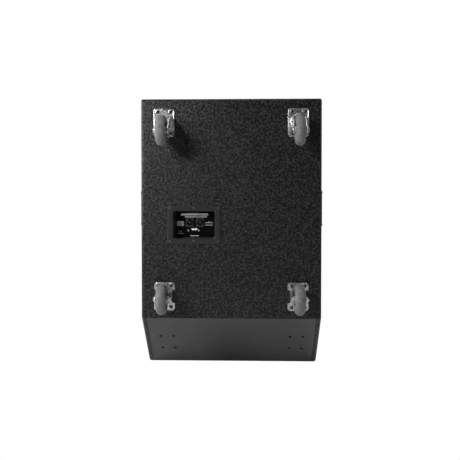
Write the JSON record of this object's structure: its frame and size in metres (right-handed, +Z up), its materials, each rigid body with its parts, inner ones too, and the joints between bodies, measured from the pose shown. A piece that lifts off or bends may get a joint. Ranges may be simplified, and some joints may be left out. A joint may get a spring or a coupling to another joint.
{
  "type": "pa speaker cabinet",
  "caption": "Upright folded-horn bass cabinet with a rear chamfer, recessed input dish, side handles, grille and tilt-back transport casters.",
  "frame": {"origin": "on the floor plane, at the middle of the cabinet shell's width and depth", "axes": "+Z up, +Y out of the back where the casters are, -Y out of the grille, +X to the left-hand side of someone standing behind it"},
  "size_m": [0.6208, 0.892, 0.929],
  "materials": {
    "cabinet_paint": "plywood with a sprayed black textured coating",
    "chamfer_paint": "plywood with a smoother rolled black coating",
    "inner_paint": "plywood painted matt black",
    "gasket": "closed-cell foam strip",
    "black_screws": "black-finished steel",
    "grille_steel": "perforated sheet, matt black powder coat",
    "grille_foam": "black open-cell foam",
    "handle_plastic": "moulded black plastic",
    "zinc_steel": "bright zinc-plated pressed steel",
    "ball_steel": "polished bearing steel, greased",
    "wheel_core": "light grey moulded plastic",
    "wheel_tyre": "grey non-marking rubber",
    "tee_nut_steel": "zinc-plated steel gone dull",
    "dish_steel": "pressed steel, semi-matt black powder coat",
    "socket_plastic": "black glass-filled plastic",
    "basket_aluminium": "die-cast, black paint",
    "ferrite": "ferrite ring",
    "pole_steel": "black zinc-plated steel",
    "cone_paper": "treated paper pulp",
    "doped_cloth": "doped pleated cloth",
    "spider_cloth": "resin-dipped corrugated cloth",
    "coil_copper": "copper winding on its former",
    "wire_jacket": "flexible two-core cable"
  },
  "bodies": {
    "cabinet": {"left_side_panel": "cabinet_paint", "right_side_panel": "cabinet_paint", "top_panel": "cabinet_paint", "bottom_panel": "cabinet_paint", "back_panel": "cabinet_paint", "chamfer_panel": "chamfer_paint", "driver_baffle": "inner_paint", "horn_shelf": "inner_paint", "splitter_panel": "inner_paint", "front_frame": "inner_paint", "access_hatch": "inner_paint", "hatch_gasket": "gasket", "hatch_screws": "black_screws", "grille": "grille_steel", "grille_foam": "grille_foam", "grille_screws": "black_screws", "front_left_handle": "handle_plastic", "rear_left_handle": "handle_plastic", "front_right_handle": "handle_plastic", "rear_right_handle": "handle_plastic", "handle_screws": "black_screws", "swivel_left_plate": "zinc_steel", "swivel_left_kingpin": "zinc_steel", "swivel_left_balls": "ball_steel", "swivel_right_plate": "zinc_steel", "swivel_right_kingpin": "zinc_steel", "swivel_right_balls": "ball_steel", "rigid_left_fork": "zinc_steel", "rigid_left_axle": "zinc_steel", "rigid_right_fork": "zinc_steel", "rigid_right_axle": "zinc_steel", "caster_screws": "black_screws", "tee_nuts": "tee_nut_steel", "input_dish": "dish_steel", "input_screws": "black_screws", "input_socket": "socket_plastic", "link_socket": "socket_plastic", "driver_basket": "basket_aluminium", "driver_magnet": "ferrite", "driver_front_plate": "pole_steel", "driver_yoke": "pole_steel", "driver_surround": "doped_cloth", "driver_spider": "spider_cloth", "driver_bolts": "black_screws", "speaker_wire": "wire_jacket"},
    "swivel_left": {"swivel_left_fork": "zinc_steel", "swivel_left_axle": "zinc_steel"},
    "swivel_left_wheel": {"swivel_left_core": "wheel_core", "swivel_left_tyre": "wheel_tyre"},
    "rigid_left_wheel": {"rigid_left_core": "wheel_core", "rigid_left_tyre": "wheel_tyre"},
    "swivel_right": {"swivel_right_fork": "zinc_steel", "swivel_right_axle": "zinc_steel"},
    "swivel_right_wheel": {"swivel_right_core": "wheel_core", "swivel_right_tyre": "wheel_tyre"},
    "rigid_right_wheel": {"rigid_right_core": "wheel_core", "rigid_right_tyre": "wheel_tyre"},
    "cone": {"driver_cone": "cone_paper", "driver_dust_cap": "cone_paper", "driver_voice_coil": "coil_copper"}
  },
  "joints": [
    {"name": "swivel_left_turn", "type": "hinge", "parent": "cabinet", "child": "swivel_left", "pos_m": [0.226, 0.381, 0.848], "axis": [0, 1, 0], "continuous": true},
    {"name": "swivel_left_roll", "type": "hinge", "parent": "swivel_left", "child": "swivel_left_wheel", "pos_m": [0.226, 0.4602, 0.815], "axis": [1, 0, 0], "continuous": true},
    {"name": "rigid_left_roll", "type": "hinge", "parent": "cabinet", "child": "rigid_left_wheel", "pos_m": [0.226, 0.4602, 0.262], "axis": [1, 0, 0], "continuous": true},
    {"name": "swivel_right_turn", "type": "hinge", "parent": "cabinet", "child": "swivel_right", "pos_m": [-0.226, 0.381, 0.848], "axis": [0, 1, 0], "continuous": true},
    {"name": "swivel_right_roll", "type": "hinge", "parent": "swivel_right", "child": "swivel_right_wheel", "pos_m": [-0.226, 0.4602, 0.815], "axis": [1, 0, 0], "continuous": true},
    {"name": "rigid_right_roll", "type": "hinge", "parent": "cabinet", "child": "rigid_right_wheel", "pos_m": [-0.226, 0.4602, 0.262], "axis": [1, 0, 0], "continuous": true},
    {"name": "cone_travel", "type": "slide", "parent": "cabinet", "child": "cone", "axis": [0, 0.9799, 0.1994], "range_m": [-0.008, 0.008], "stiffness_N_per_m": 9000, "deforming": ["driver_surround", "driver_spider"]}
  ]
}
